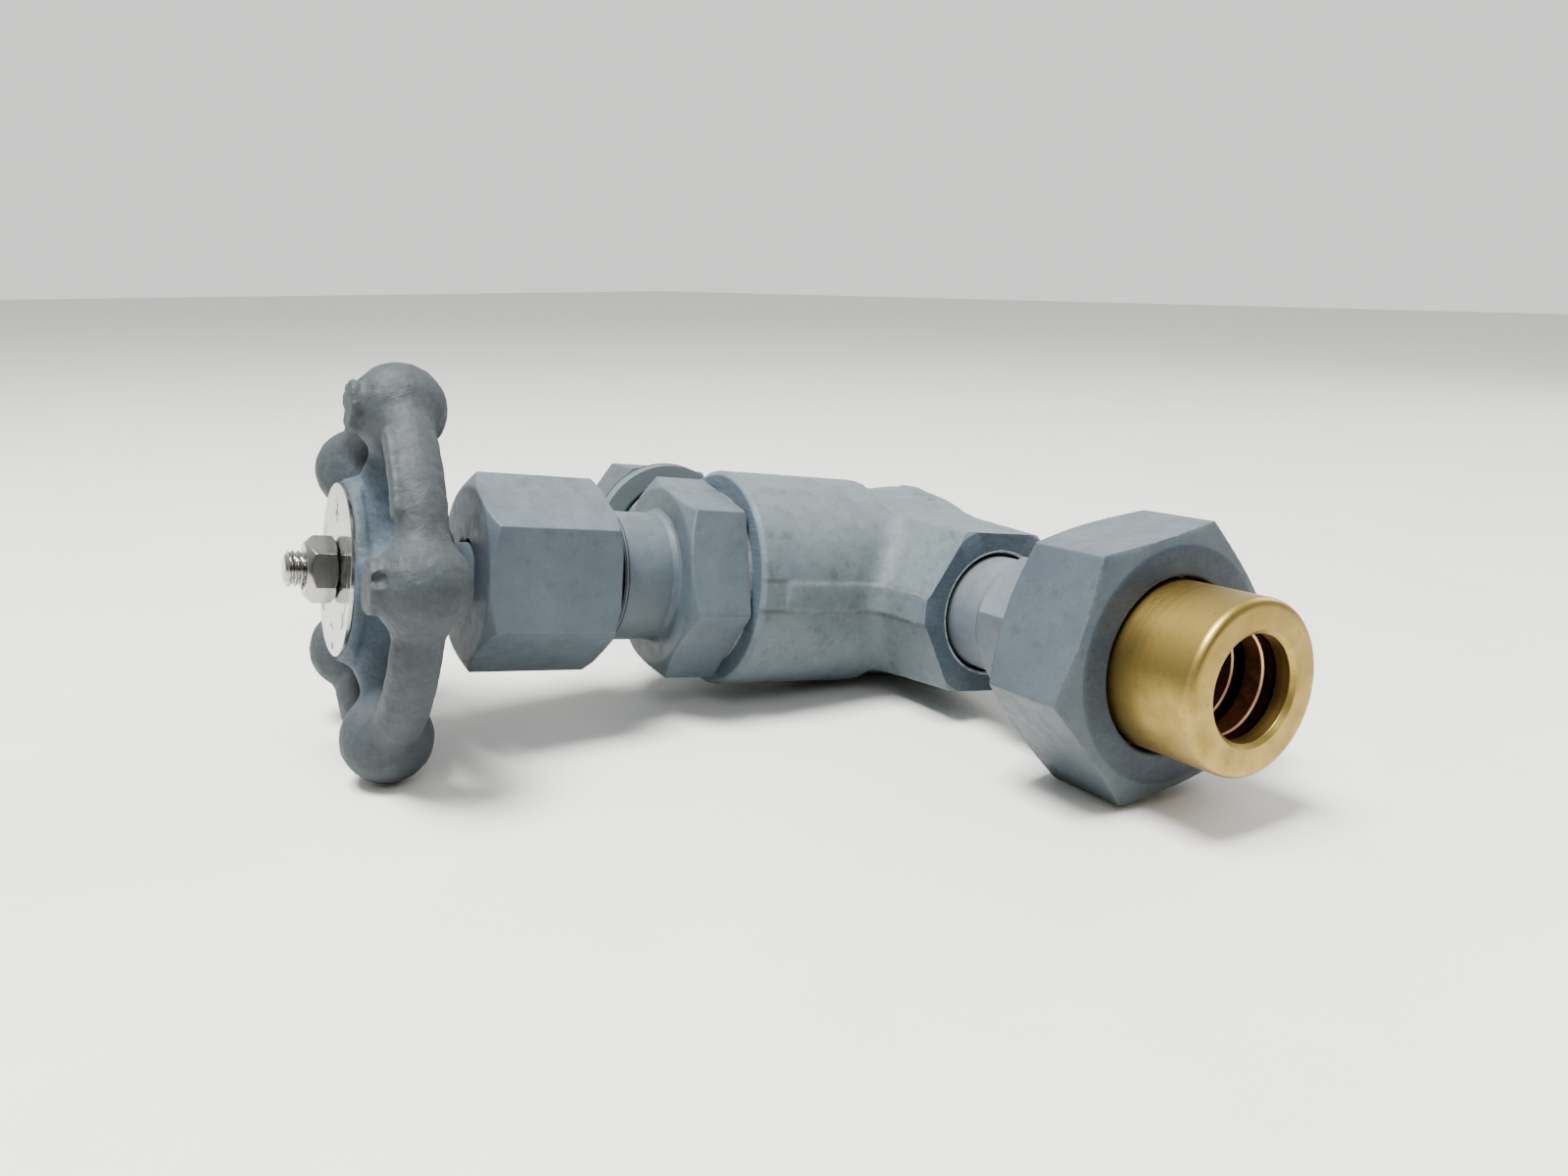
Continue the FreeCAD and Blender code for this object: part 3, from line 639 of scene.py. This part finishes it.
def spindle_tool():
    """What machining takes off along the spindle: flow way, seat, chamber, thread and the barrel's end."""
    flow, seat, chamber, thread = 8, 12, 18, 19
    edge = BARREL_RADIUS
    return turned_tool([
        (-9, 0), (-9, flow), (13, flow), (13, seat), (19, seat), (19, chamber), (41, chamber), (41, thread),
        (BARREL_END, thread), (BARREL_END, edge - 1.5), (BARREL_END - 0.4, edge - 0.7),
        (BARREL_END - 1.3, edge - 0.1), (BARREL_END - 1.3, 40), (BARREL_END + 6, 40), (BARREL_END + 6, 0),
    ], "spindle")


def make_body():
    points, quads = sampled(forging, (-60, -51, -31), (33, 51, 31), 0.66)
    piece = new_piece("forged_body", points, quads, "row")
    carve(piece, port_tool("front", 8.0, 12.0, RECESSES[0]))
    carve(piece, port_tool("rear", 7.0, 10.5, RECESSES[1]))
    carve(piece, spindle_tool())
    piece.data.shade_smooth()
    piece.data.set_sharp_from_angle(angle=math.radians(38))
    return install(piece, forged_paint, "valve", "valve_body")


make_body()


# ---------------------------------------------------------------- handwheel

WHEEL_STATION = 139.2              # the plane of the rim and the balls
WHEEL_RADIUS = 37.6                # from the axis to the balls' centres
KNOB_RADIUS = 10.0
SPOKES = 5
FIRST_SPOKE = math.radians(-13.8)
HUB_START = 125
HUB_FACE = 148.6
# station of the spoke's middle, half its depth and half its width, at the hub and at the ball
SPOKE_AT_HUB = (140.6, 7.4, 7.0)
SPOKE_AT_BALL = (139.4, 4.7, 4.4)


def spoke(u, v, w, angle):
    """One spoke, deep at the hub and slim at its ball."""
    along = u * math.cos(angle) + v * math.sin(angle)
    across = v * math.cos(angle) - u * math.sin(angle)
    t = np.clip((along - 13) / 17, 0, 1)
    ease = t * t * (3 - 2 * t)
    middle, deep, wide = (hub + (ball - hub) * ease for hub, ball in zip(SPOKE_AT_HUB, SPOKE_AT_BALL))
    tube = (np.sqrt((across / wide) ** 2 + ((w - middle) / deep) ** 2) - 1) * np.minimum(deep, wide)
    return np.maximum(np.maximum(tube, 6 - along), along - WHEEL_RADIUS)


def gate_scar(u, v, w, angle):
    """The rough patch that a broken gate leaves on a ball's outer face, with its pits."""
    along = u * math.cos(angle) + v * math.sin(angle) - WHEEL_RADIUS
    across = v * math.cos(angle) - u * math.sin(angle)
    edge = np.hypot(along, across) - 5.6 + 0.35 * waves(along, across, w, 5.3)
    pad = soft_max(edge, np.abs(w - WHEEL_STATION - 6.6) - 4.2 - 0.25 * waves(across, along, w, 3.1), 0.8)
    dents = np.minimum(np.sqrt((along - 5.0) ** 2 + (across - 2.0) ** 2 + (w - 148.6) ** 2) - 1.5,
                       np.sqrt((along + 3.4) ** 2 + (across - 4.0) ** 2 + (w - 149.4) ** 2) - 1.2)
    return pad, dents


def wheel_casting(u, v, w):
    """Hub, spokes, rim and balls, blended, with a ridge of flash, two gate scars and a casting's waves."""
    from_axis = np.sqrt(u * u + v * v)
    rim = (np.sqrt(((from_axis - WHEEL_RADIUS) / 4.9) ** 2 + ((w - WHEEL_STATION) / 5.2) ** 2) - 1) * 4.9
    hub_radius = np.interp(w, [125, 141, 145.4, 146.4], [10.5, 16.0, 18.6, 19.8])
    hub = np.maximum(np.maximum(from_axis - hub_radius, w - HUB_FACE), HUB_START - w)
    wheel = soft_max(hub, w - HUB_FACE + 0.1, 0.3)
    angles = [FIRST_SPOKE + TURN * k / SPOKES for k in range(SPOKES)]
    for angle in angles:
        wheel = soft_min(wheel, spoke(u, v, w, angle), 4.5)
    wheel = np.maximum(wheel, w - HUB_FACE)
    wheel = soft_min(wheel, rim, 3.5)
    for angle in angles:
        knob = np.sqrt((u - WHEEL_RADIUS * math.cos(angle)) ** 2 + (v - WHEEL_RADIUS * math.sin(angle)) ** 2
                       + (w - WHEEL_STATION) ** 2) - KNOB_RADIUS
        wheel = soft_min(wheel, knob, 2.6)
    # a flat flash ridge on the rim between the first ball and the one before it
    turn = np.arctan2(v, u) - (FIRST_SPOKE - TURN / SPOKES / 2)
    turn = np.abs((turn + math.pi) % TURN - math.pi)
    ridge = soft_max(np.abs(from_axis - WHEEL_RADIUS - 1.3) - 2.2,
                     np.abs(w - WHEEL_STATION - 4.0) - 2.2, 1.2)
    ridge = soft_max(ridge + 0.15 * waves(u, v, w, 5), (turn - 0.28) * WHEEL_RADIUS, 1.5)
    wheel = soft_min(wheel, ridge, 0.7)
    for angle in (angles[0], angles[-1]):
        pad, dents = gate_scar(u, v, w, angle)
        wheel = soft_max(soft_min(wheel, pad, 0.8), -dents, 0.5)
    return wheel + 0.13 * waves(u, v, w, 7.5) + 0.08 * waves(v, w, u, 3.1)


def square_tool(half, start, end):
    """A square cutter along the spindle."""
    corners = [(a * half, b * half) for a, b in ((1, 1), (-1, 1), (-1, -1), (1, -1))]
    points = [(x, y, z) for z in (start, end) for x, y in corners]
    faces = [(3, 2, 1, 0), (4, 5, 6, 7)] + [(k, (k + 1) % 4, (k + 1) % 4 + 4, k + 4) for k in range(4)]
    return new_piece("tool", points, faces, "spindle")


def make_handwheel():
    reach = WHEEL_RADIUS + KNOB_RADIUS + 1.5
    points, quads = sampled(wheel_casting, (-reach, -reach, 123.5), (reach, reach, 151), 0.6)
    piece = new_piece("cast_handwheel", points, quads, "spindle")
    carve(piece, square_tool(5.05, 125.5, 151))
    carve(piece, turned_tool([(123, 0), (123, 7.05), (126, 7.05), (126, 0)], "spindle", 48))
    piece.data.shade_smooth()
    piece.data.set_sharp_from_angle(angle=math.radians(50))
    return install(piece, cast_paint, "handwheel", "handwheel")


make_handwheel()


# ---------------------------------------------------------------- bonnet, gland nut and spindle

ROUND = np.linspace(0, TURN, 96, endpoint=False)


def make_bonnet():
    turn, width = 17.7, 45.0
    hex_start, hex_end = 57.2, 72.6
    thread, neck, box, stem = 19, 16.0, 11, 7.06
    angles = hexagon_angles(turn)
    gap = 0.06
    rings = rounded([(41.5, 14), (41.5, thread - gap), (hex_start, thread - gap), (hex_start, 21)], 0.5)
    rings += hexagon_rings(hex_start, hex_end, width, turn, angles, (25.6, 22.1), (1.0, 1.73), 0.2)
    rings += rounded([(hex_end, 21.5), (hex_end, 17.2), (73.1, 16.4), (74.4, neck), (85.6, neck),
                      (85.7, 15.65), (85.8, neck), (86.3, neck), (86.4, 15.65), (86.5, neck),
                      (86.7, neck), (86.9, 14.4), (88.1, 14.4), (88.3, 15.2)], 0.12, 2)
    rings += thread_rings(88.4, 105.6, neck - gap, 1.5, 0.75, angles)
    rings += rounded([(105.7, 15.2), (106, 15.0), (106, box), (88, box), (88, stem), (84, stem),
                      (84, 8.06), (41.5, 8.06), (41.5, 13.9)], 0.2, 2)
    piece = ring_stack("bonnet_shell", rings, "spindle", angles)
    return install(piece, bonnet_paint, "valve", "bonnet")


def make_gland_nut():
    turn = 4.8
    angles = hexagon_angles(turn)
    rings = hexagon_rings(89.3, 120.6, 41.0, turn, angles, (21.5, 20.1), (1.73, 1.73), 0.3)
    rings += rounded([(120.6, 19.4), (120.6, 8.5), (119.8, 7.8), (110, 7.8), (110, 15.97)], 0.3)
    rings += reversed(thread_rings(90.2, 108.5, 16.0, 1.5, 0.7, angles, -1))
    rings += rounded([(90.1, 16.1), (89.3, 16.9), (89.3, 20.5)], 0.2)
    piece = ring_stack("gland_nut_shell", rings, "spindle", angles)
    return install(piece, body_paint, "gland_nut", "gland_nut")


def make_spindle():
    head, throat, stem = 6.5, 4.5, 7.0
    square = square_bar(ROUND, 5.0, stem)
    rings = rounded([(26.3, head - 0.9), (26.3, head), (29.4, head), (29.4, throat), (34.5, throat),
                     (34.5, 7.9)], 0.4)
    rings += thread_rings(34.7, 74.3, 8.0, 2.0, 1.0, ROUND)
    rings += rounded([(74.5, 7.6), (74.5, stem), (SQUARE_START - 0.2, stem)], 0.3)
    rings += [(SQUARE_START, square), (146.6, square), (146.8, square - 0.2)]
    rings += thread_rings(146.9, 159.2, 4.0, 1.25, 0.62, ROUND)
    rings += [(159.3, 3.35), (159.7, 3.0), (159.9, 2.5)]
    piece = ring_stack("turned_spindle", rings, "spindle", ROUND, closed=False)
    return install(piece, stem_steel, "handwheel", "spindle")


def square_bar(angles, half, limit):
    """A square bar whose corners are left round by the stem it is cut from; flats face local X and Y."""
    side = half / np.maximum(np.abs(np.cos(angles)), np.abs(np.sin(angles)))
    return np.minimum(side, limit)


def make_spindle_nut():
    turn, start, end, hole = 5.0, 149.4, 155.9, 4.06
    angles = hexagon_angles(turn)
    rings = hexagon_rings(start, end, 13.0, turn, angles, (6.3, 5.7), (1.73, 1.0), 0.25)
    rings += rounded([(end, 5.3), (end, 4.6), (end - 0.6, hole), (start + 0.6, hole), (start, 4.6),
                      (start, 5.8)], 0.1, 2)
    piece = ring_stack("hexagon_nut", rings, "spindle", angles)
    return install(piece, steel, "handwheel", "spindle_nut")


def plate_marks(radius, angle):
    """The plate's generic engraving: two turning arrows, a plus and a minus. 1 inside a line, 0 outside."""
    marks = np.zeros(np.broadcast(radius, angle).shape)
    arrows, signs = 15.2, 12.8
    tip = 0.86
    for middle, sign in ((math.radians(90), 1), (math.radians(270), -1)):
        off = ((angle - middle + math.pi) % TURN - math.pi) * sign
        arc = (np.abs(radius - arrows) < 0.45) & (np.abs(off) < 0.62)
        head = (off > 0.58) & (off < tip) & (np.abs(radius - arrows) < (tip - off) * 7.5)
        marks[arc | head] = 1
    for middle, upright in ((0, True), (math.pi, False)):
        off = ((angle - middle + math.pi) % TURN - math.pi) * signs
        flat = (np.abs(radius - signs) < 0.42) & (np.abs(off) < 2.0)
        stem = (np.abs(off) < 0.42) & (np.abs(radius - signs) < 2.0)
        marks[flat | (stem if upright else False)] = 1
    return marks


def make_nameplate():
    """A thin disc, slightly bent at its edge, with engraved marks and a small locating hole's dent, painted
    dark as shade.
    """
    count = 480
    angles = np.linspace(0, TURN, count, endpoint=False)
    outer, inner, back, face = 19.2, 4.2, 148.6, 149.4
    middle = np.arange(inner + 0.3, outer - 0.2, 0.2)
    radii = np.concatenate([[inner, inner + 0.1], middle, [outer - 0.12, outer]])
    grid_r, grid_a = np.meshgrid(radii, angles, indexing="ij")
    marks = plate_marks(grid_r, grid_a)
    bend = 0.12 * np.sin(3 * grid_a + 0.6) * np.clip((grid_r - 13) / 6, 0, 1) ** 2
    dent = np.clip(1 - np.hypot(grid_r * np.cos(grid_a) + 17.0, grid_r * np.sin(grid_a) + 1.0) / 1.1, 0, 1)
    height = face - 0.12 + np.minimum(bend, 0.12) - 0.10 * marks - 0.35 * dent
    height[[0, -1]] -= 0.08
    rings, shade = [], []
    for k in range(len(radii)):
        rings.append((height[k], radii[k]))
        # the engraved marks are dark, and the dent is darkened as painted shade
        shade.append(np.maximum(marks[k], np.clip(dent[k] * 3, 0, 1)))
    rings += [(back + 0.02, outer), (back, outer - 0.1), (back, inner + 0.1), (back + 0.02, inner)]
    shade += [np.zeros(count)] * 4
    piece = ring_stack("engraved_plate", rings, "spindle", angles, sharp_angle=50)
    engraving_and_dent_shade = piece.data.attributes.new("engraving_and_dent_shade", "FLOAT", "POINT")
    engraving_and_dent_shade.data.foreach_set("value", np.concatenate(shade))
    return install(piece, plate_finish, "handwheel", "nameplate")


make_bonnet()
make_gland_nut()
make_spindle()
make_spindle_nut()
make_nameplate()


# ---------------------------------------------------------------- unions

# thread, flange and nut begin with their first and last reach; tail is (end, radius, bore)
UNIONS = {
    "front": {
        "port": 12.0, "collar": 14.25, "collar_end": 57.5, "hex": 30.0, "hex_turn": 20.0, "bore": 8.0,
        "thread": (78.0, 94.0, 20.5), "flange": (95.0, 98.5, 20.2), "tail": (126.0, 18.3, 9.5),
        "socket": (104.0, 11.05), "grooves": (111.0, 118.6), "nut": (81.2, FRONT_NUT_FACE, 55.0, -14.7),
        "nut_shoulder": (80.6, 26.8), "nut_face": 25.2, "paint": thin_paint, "nut_paint": front_nut_paint,
    },
    "rear": {
        "port": 10.5, "collar": 12.5, "collar_end": 56.0, "hex": 27.0, "hex_turn": 12.0, "bore": 7.0,
        "thread": (74.0, 90.0, 16.5), "flange": (91.0, 94.5, 16.2), "tail": (118.0, 14.0, 6.5),
        "socket": (101.2, 8.05), "grooves": (105.6, 111.4),
        "nut": (REAR_NUT_HEX_START, REAR_NUT_FACE, 44.0, 30.0),
        "nut_shoulder": (78.5, 23.9), "nut_face": 20.2, "paint": body_paint, "nut_paint": rear_nut_paint,
    },
}
GROOVE_WIDTH = 3.0
GROOVE_DEPTH = 1.3


def make_adapter(side, size):
    angles = hexagon_angles(size["hex_turn"])
    start, end, radius = size["thread"]
    bore, port, collar, collar_end = (size[key] for key in ("bore", "port", "collar", "collar_end"))
    width, turn = size["hex"], size["hex_turn"]
    rings = rounded([(30.5, bore + 1), (30.5, port - 0.9), (31.4, port - 0.06), (44.5, port - 0.06),
                     (44.5, collar), (collar_end - 0.2, collar)], 0.4)
    hexagon = hexagon_rings(collar_end, start, width, turn, angles, (collar, width / 2 + 2),
                            (0.8, 1.73), 0.35)
    rings += hexagon[2:-2]
    rings += rounded([(start, width / 2 + 2.4), (start, radius - 1.0), (start + 1.0, radius - 0.1)], 0.3)
    rings += thread_rings(start + 1.1, end - 1.1, radius, 2.0, 1.0, angles)
    rings += rounded([(end - 1.0, radius - 0.3), (end, radius - 1.2), (end, bore + 0.5),
                      (end - 0.5, bore), (30.9, bore), (30.5, bore + 0.5)], 0.3)
    piece = ring_stack(f"adapter_{side}", rings, side, angles)
    return install(piece, size["paint"], "valve", f"union_adapter_{side}")


def make_tailpiece(side, size):
    start, flange_end, flange = size["flange"]
    end, radius, bore = size["tail"]
    socket_start, socket = size["socket"]
    inside = [(end, socket + 1.0), (end - 0.9, socket + 0.05)]
    for groove in reversed(size["grooves"]):
        low, high, floor = groove + 0.05, groove + GROOVE_WIDTH - 0.05, socket + GROOVE_DEPTH
        inside += [(high + 0.35, socket), (high, socket + 0.4), (high, floor), (low, floor),
                   (low, socket + 0.4), (low - 0.35, socket)]
    inside += [(socket_start, socket), (socket_start, bore), (start, bore), (start, bore + 1.2)]
    rings = rounded([(start, bore + 1.5), (start, flange), (flange_end, flange), (flange_end, radius)],
                    0.35)
    rings += rounded([(flange_end + 0.5, radius), (end, radius), (end, socket + 1.6)], 1.9, 8)
    rings += rounded(inside, 0.12)
    angles = np.linspace(0, TURN, 144, endpoint=False)
    piece = ring_stack(f"tail_{side}", rings, side, angles)
    finish = turned_metal(f"brass_{side}", BRASS, TARNISH, 0.38, side, 0.35, pits=0.7,
                          socket=(socket, end, GROOVE_DEPTH))
    return install(piece, finish, f"tailpiece_{side}", f"tailpiece_{side}")


def make_union_nut(side, size):
    start, end, width, turn = size["nut"]
    angles = hexagon_angles(turn)
    _, flange_end, _ = size["flange"]
    radius = size["thread"][2]
    back, shoulder = size["nut_shoulder"]
    lip = size["tail"][1] + 0.8
    face = size["nut_face"]
    rings = hexagon_rings(start, end, width, turn, angles, (shoulder + 0.7, face), (1.73, 3.1), 0.2)
    rings += rounded([(end, face - 0.8), (end, lip + 0.5), (end - 0.4, lip), (flange_end + 0.05, lip),
                      (flange_end + 0.05, radius + 0.2)], 0.25)
    rings += reversed(thread_rings(back + 1.2, flange_end - 0.4, radius + 0.1, 2.0, 0.9, angles, -1))
    rings += rounded([(back + 1.0, radius + 0.3), (back, radius + 1.2), (back, shoulder),
                      (start, shoulder), (start, shoulder + 0.3)], 0.3)
    piece = ring_stack(f"union_nut_{side}_shell", rings, side, angles)
    return install(piece, size["nut_paint"], f"union_nut_{side}", f"union_nut_{side}")


for side_name, sizes in UNIONS.items():
    make_adapter(side_name, sizes)
    make_tailpiece(side_name, sizes)
    make_union_nut(side_name, sizes)


# ---------------------------------------------------------------- CAD pieces that keep their shape

KEPT = {
    "seat_ring": steel, "packing_washer": steel, "packing_rings": graphite, "regulating_plug": steel,
    "plug_retainer": steel, "bonnet_gasket": gasket_metal, "port_seal_front": rubber,
    "port_seal_rear": rubber, "union_seal_front": rubber, "union_seal_rear": rubber,
    "brazing_rings_front": copper, "brazing_rings_rear": copper,
    "gland_follower": turned_metal("brass_follower", BRASS, TARNISH, 0.3, "spindle"),
}
for node_name, finish_of_node in KEPT.items():
    mesh_of_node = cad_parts[node_name].data
    mesh_of_node.materials.clear()
    mesh_of_node.materials.append(finish_of_node)


# ---------------------------------------------------------------- floor, light and camera

def resting_plane(nodes):
    """Normal and one point of the plane that three pieces of the valve rest on."""
    clouds = [np.array([v.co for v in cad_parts[n].data.vertices]) for n in nodes]
    normal = np.array([0.0, 0.0, 1.0])
    for _ in range(6):
        a, b, c = (cloud[np.argmin(cloud @ normal)] for cloud in clouds)
        normal = np.cross(b - a, c - a)
        normal *= np.sign(normal[2]) / np.linalg.norm(normal)
    lowest = min((cloud @ normal).min() for cloud in clouds)
    return Vector(normal), Vector(normal) * float(lowest)


def make_floor():
    normal, point = resting_plane(["handwheel", "union_nut_front", "union_nut_rear"])
    half = 4.0
    mesh = bpy.data.meshes.new("floor")
    corners = [(-half, -half, 0), (half, -half, 0), (half, half, 0), (-half, half, 0)]
    mesh.from_pydata(corners, [], [(0, 1, 2, 3)])
    floor = bpy.data.objects.new("floor", mesh)
    bpy.context.scene.collection.objects.link(floor)
    floor.rotation_mode = "QUATERNION"
    floor.rotation_quaternion = normal.to_track_quat("Z", "Y")
    floor.location = point - normal * 0.15 * MM
    s = Surface("floor_sheet", Roughness=0.42, IOR=1.4)
    clouds = s.noise(45, 4, 0.55)
    tone = s.mix(s.ramp(clouds, 0.3, 0.7), colour(0.77, 0.77, 0.74), colour(0.81, 0.81, 0.785))
    mesh.materials.append(s.set(Base_Color=tone))


def area_light(name, place, target, size, power, tint=(1, 1, 1)):
    data = bpy.data.lights.new(name, "AREA")
    data.shape = "RECTANGLE"
    data.size, data.size_y = size
    data.energy = power
    data.color = tint
    lamp = bpy.data.objects.new(name, data)
    bpy.context.scene.collection.objects.link(lamp)
    lamp.location = place
    lamp.rotation_mode = "QUATERNION"
    lamp.rotation_quaternion = (Vector(target) - Vector(place)).to_track_quat("-Z", "Y")


def make_lights():
    """Soft light from above and from behind the valve; the side the camera is on is dimmer."""
    middle = (-0.05, 0.1, 0)
    area_light("key", (-0.55, -0.02, 1.05), middle, (0.5, 0.4), 48, (1.0, 0.99, 0.97))
    area_light("front_fill", (-0.5, -0.9, 0.9), middle, (0.7, 0.5), 4, (0.96, 0.98, 1.0))
    area_light("right_fill", (0.9, 0.1, 0.7), middle, (0.6, 0.6), 6, (1.0, 0.98, 0.95))
    world = bpy.data.worlds.new("studio")
    world.use_nodes = True
    tree = world.node_tree
    direction = tree.nodes.new("ShaderNodeTexCoord").outputs["Generated"]
    facing = tree.nodes.new("ShaderNodeVectorMath")
    facing.operation = "DOT_PRODUCT"
    facing.inputs[1].default_value = (0.35, 0.75, 0.45)
    tree.links.new(direction, facing.inputs[0])
    strength = tree.nodes.new("ShaderNodeMapRange")
    tree.links.new(facing.outputs["Value"], strength.inputs["Value"])
    strength.inputs["From Min"].default_value = -0.7
    strength.inputs["From Max"].default_value = 0.6
    strength.inputs["To Min"].default_value = 0.12
    strength.inputs["To Max"].default_value = 1.18
    background = tree.nodes["Background"]
    background.inputs["Color"].default_value = (0.93, 0.94, 0.91, 1)
    tree.links.new(strength.outputs[0], background.inputs["Strength"])
    bpy.context.scene.world = world


def make_camera():
    """The camera is level and the valve lies a little tilted, so in the valve's frame it is rolled."""
    azimuth, down, roll = (math.radians(a) for a in (30.775, 8.234, 5.788))
    flat_forward = Vector((math.sin(azimuth), math.cos(azimuth), 0)) * math.cos(down)
    forward = flat_forward - Vector((0, 0, math.sin(down)))
    flat_right = Vector((math.cos(azimuth), -math.sin(azimuth), 0))
    flat_up = flat_right.cross(forward)
    right = flat_right * math.cos(roll) + flat_up * math.sin(roll)
    up = flat_up * math.cos(roll) - flat_right * math.sin(roll)
    data = bpy.data.cameras.new("camera")
    data.lens = 27.415
    data.sensor_width = 36
    data.clip_start = 0.01
    camera = bpy.data.objects.new("camera", data)
    bpy.context.scene.collection.objects.link(camera)
    turn = Matrix((right, up, -forward)).transposed()
    camera.matrix_world = Matrix.Translation((-0.197274, -0.149402, 0.043720)) @ turn.to_4x4()
    bpy.context.scene.camera = camera


make_floor()
make_lights()
make_camera()
